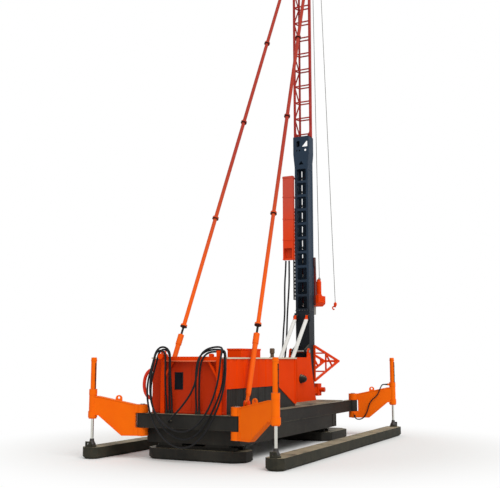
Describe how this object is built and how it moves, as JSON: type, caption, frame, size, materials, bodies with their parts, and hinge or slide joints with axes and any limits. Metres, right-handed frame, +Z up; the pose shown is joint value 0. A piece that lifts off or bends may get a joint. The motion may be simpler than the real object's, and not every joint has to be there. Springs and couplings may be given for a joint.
{
  "type": "jet grouting rig",
  "caption": "Walking-base jet grouting rig: cross feet and long shoes, jack arms, engine house, and a tall stayed mast with a rotary drill head.",
  "frame": {"origin": "on the ground under the middle of the platform", "axes": "+Z up, +Y forward to the mast, +X to the machine's right"},
  "size_m": [5.84, 11.1799, 17.92],
  "materials": {
    "arm_paint": "satin",
    "black_paint": "satin",
    "chrome": "polished",
    "exhaust_steel": "matte",
    "hose_rubber": "matte",
    "lattice_paint": "satin",
    "mast_paint": "satin",
    "orange_paint": "satin",
    "red_hose": "satin",
    "roof_paint": "satin",
    "shoe_paint": "matte",
    "steel": "brushed",
    "white_paint": "gloss"
  },
  "bodies": {
    "platform": {"platform_frame": "black_paint", "deck_plate": "black_paint", "arm_pins": "steel", "house_side_walls": "orange_paint", "house_skirts": "black_paint", "house_wall_rear": "orange_paint", "house_wall_front": "orange_paint", "house_roof": "roof_paint", "roof_box": "orange_paint", "exhaust_stack": "exhaust_steel", "power_pack": "black_paint", "hose_posts": "orange_paint", "mast_tower": "orange_paint", "mast_pin": "steel", "winch_cheeks": "orange_paint", "deck_brackets": "orange_paint", "hose_line_1": "hose_rubber", "hose_line_2": "hose_rubber", "hose_line_3": "hose_rubber", "hose_line_red": "red_hose", "mast_line_1": "hose_rubber", "mast_line_2": "hose_rubber"},
    "lower_frame": {"lower_frame": "black_paint"},
    "foot_front": {"foot_front": "black_paint"},
    "foot_rear": {"foot_rear": "black_paint"},
    "mast": {"mast_box": "mast_paint", "mast_transition": "mast_paint", "mast_rails": "mast_paint", "mast_lattice": "lattice_paint", "mast_crown": "lattice_paint", "front_bracket": "orange_paint", "foot_clamp": "orange_paint", "hose_duct": "orange_paint", "drag_chain": "black_paint"},
    "crown_sheaves": {"crown_sheaves": "steel"},
    "head": {"head_carriage": "lattice_paint", "head_gearbox": "orange_paint", "head_motors": "orange_paint"},
    "spindle": {"head_spindle": "steel"},
    "winch_drum": {"winch_drum": "steel"},
    "tilt_barrels": {"tilt_barrels": "white_paint"},
    "tilt_rods": {"tilt_rods": "chrome"},
    "stay_feet": {"stay_feet": "lattice_paint"},
    "stay_pipe_right": {"stay_pipe_right": "lattice_paint"},
    "stay_pipe_left": {"stay_pipe_left": "lattice_paint"},
    "shoe_right": {"long_shoe_right": "shoe_paint"},
    "shoe_left": {"long_shoe_left": "shoe_paint"},
    "arm_rear_right": {"arm_rear_right": "arm_paint", "jack_barrel_rear_right": "arm_paint"},
    "jack_rear_right": {"jack_rod_rear_right": "chrome"},
    "arm_front_right": {"arm_front_right": "arm_paint", "jack_barrel_front_right": "arm_paint", "hose_line_arm": "hose_rubber"},
    "jack_front_right": {"jack_rod_front_right": "chrome"},
    "arm_rear_left": {"arm_rear_left": "arm_paint", "jack_barrel_rear_left": "arm_paint"},
    "jack_rear_left": {"jack_rod_rear_left": "chrome"},
    "arm_front_left": {"arm_front_left": "arm_paint", "jack_barrel_front_left": "arm_paint"},
    "jack_front_left": {"jack_rod_front_left": "chrome"}
  },
  "joints": [
    {"name": "step", "type": "slide", "parent": "platform", "child": "lower_frame", "axis": [0, 1, 0], "range_m": [0, 1.4]},
    {"name": "shift_front", "type": "slide", "parent": "lower_frame", "child": "foot_front", "axis": [1, 0, 0], "range_m": [-0.4, 0.4]},
    {"name": "shift_rear", "type": "slide", "parent": "lower_frame", "child": "foot_rear", "axis": [1, 0, 0], "range_m": [-0.4, 0.4]},
    {"name": "lift_right", "type": "slide", "parent": "platform", "child": "shoe_right", "axis": [0, 0, 1], "range_m": [-0.35, 0.2]},
    {"name": "lift_left", "type": "slide", "parent": "platform", "child": "shoe_left", "axis": [0, 0, 1], "range_m": [-0.35, 0.2]},
    {"name": "swing_rear_right", "type": "hinge", "parent": "platform", "child": "arm_rear_right", "pos_m": [1.4, -4.41, 1], "axis": [0, 0, 1], "range_deg": [0, 70]},
    {"name": "jack_rear_right", "type": "slide", "parent": "arm_rear_right", "child": "jack_rear_right", "axis": [0, 0, 1], "range_m": [-0.35, 0.2]},
    {"name": "swing_front_right", "type": "hinge", "parent": "platform", "child": "arm_front_right", "pos_m": [1.4, 4.41, 1], "axis": [0, 0, -1], "range_deg": [0, 70]},
    {"name": "jack_front_right", "type": "slide", "parent": "arm_front_right", "child": "jack_front_right", "axis": [0, 0, 1], "range_m": [-0.35, 0.2]},
    {"name": "swing_rear_left", "type": "hinge", "parent": "platform", "child": "arm_rear_left", "pos_m": [-1.4, -4.41, 1], "axis": [0, 0, -1], "range_deg": [0, 70]},
    {"name": "jack_rear_left", "type": "slide", "parent": "arm_rear_left", "child": "jack_rear_left", "axis": [0, 0, 1], "range_m": [-0.35, 0.2]},
    {"name": "swing_front_left", "type": "hinge", "parent": "platform", "child": "arm_front_left", "pos_m": [-1.4, 4.41, 1], "axis": [0, 0, 1], "range_deg": [0, 70]},
    {"name": "jack_front_left", "type": "slide", "parent": "arm_front_left", "child": "jack_front_left", "axis": [0, 0, 1], "range_m": [-0.35, 0.2]},
    {"name": "tilt", "type": "hinge", "parent": "platform", "child": "mast", "pos_m": [0, 3, 2.85], "axis": [1, 0, 0], "range_deg": [-2.5, 2.5]},
    {"name": "feed", "type": "slide", "parent": "mast", "child": "head", "axis": [0, 0, 1], "range_m": [-1.4, 10.8]},
    {"name": "spindle", "type": "hinge", "parent": "head", "child": "spindle", "pos_m": [0, 4.3, 4.5], "axis": [0, 0, 1], "continuous": true},
    {"name": "winch", "type": "hinge", "parent": "platform", "child": "winch_drum", "pos_m": [0, 2.26, 1.95], "axis": [1, 0, 0], "continuous": true},
    {"name": "sheaves", "type": "hinge", "parent": "mast", "child": "crown_sheaves", "pos_m": [0, 4.24, 17.75], "axis": [1, 0, 0], "continuous": true},
    {"name": "cylinder_turn", "type": "hinge", "parent": "mast", "child": "tilt_barrels", "pos_m": [0, 3.18, 4.03], "axis": [1, 0, 0], "range_deg": [-2.2, 2.2]},
    {"name": "cylinder_stroke", "type": "slide", "parent": "tilt_barrels", "child": "tilt_rods", "axis": [0, -0.678, -0.735], "range_m": [-0.04, 0.04]},
    {"name": "stay_turn", "type": "hinge", "parent": "platform", "child": "stay_feet", "pos_m": [0, -3.65, 1.46], "axis": [1, 0, 0], "range_deg": [-2.2, 2.2]},
    {"name": "stay_screw_right", "type": "slide", "parent": "stay_feet", "child": "stay_pipe_right", "axis": [-0.0538, 0.4054, 0.9125], "range_m": [-0.26, 0.26]},
    {"name": "stay_screw_left", "type": "slide", "parent": "stay_feet", "child": "stay_pipe_left", "axis": [0.0538, 0.4054, 0.9125], "range_m": [-0.26, 0.26]}
  ],
  "couplings": [
    {"joint": "jack_rear_right", "follows": "lift_right", "ratio": 1},
    {"joint": "jack_front_right", "follows": "lift_right", "ratio": 1},
    {"joint": "jack_rear_left", "follows": "lift_left", "ratio": 1},
    {"joint": "jack_front_left", "follows": "lift_left", "ratio": 1},
    {"joint": "cylinder_turn", "follows": "tilt", "ratio": -0.71814},
    {"joint": "cylinder_stroke", "follows": "tilt", "m_per_rad": -0.66779},
    {"joint": "stay_turn", "follows": "tilt", "ratio": 0.76757},
    {"joint": "stay_screw_right", "follows": "tilt", "m_per_rad": -5.5049},
    {"joint": "stay_screw_left", "follows": "tilt", "m_per_rad": -5.5049}
  ]
}
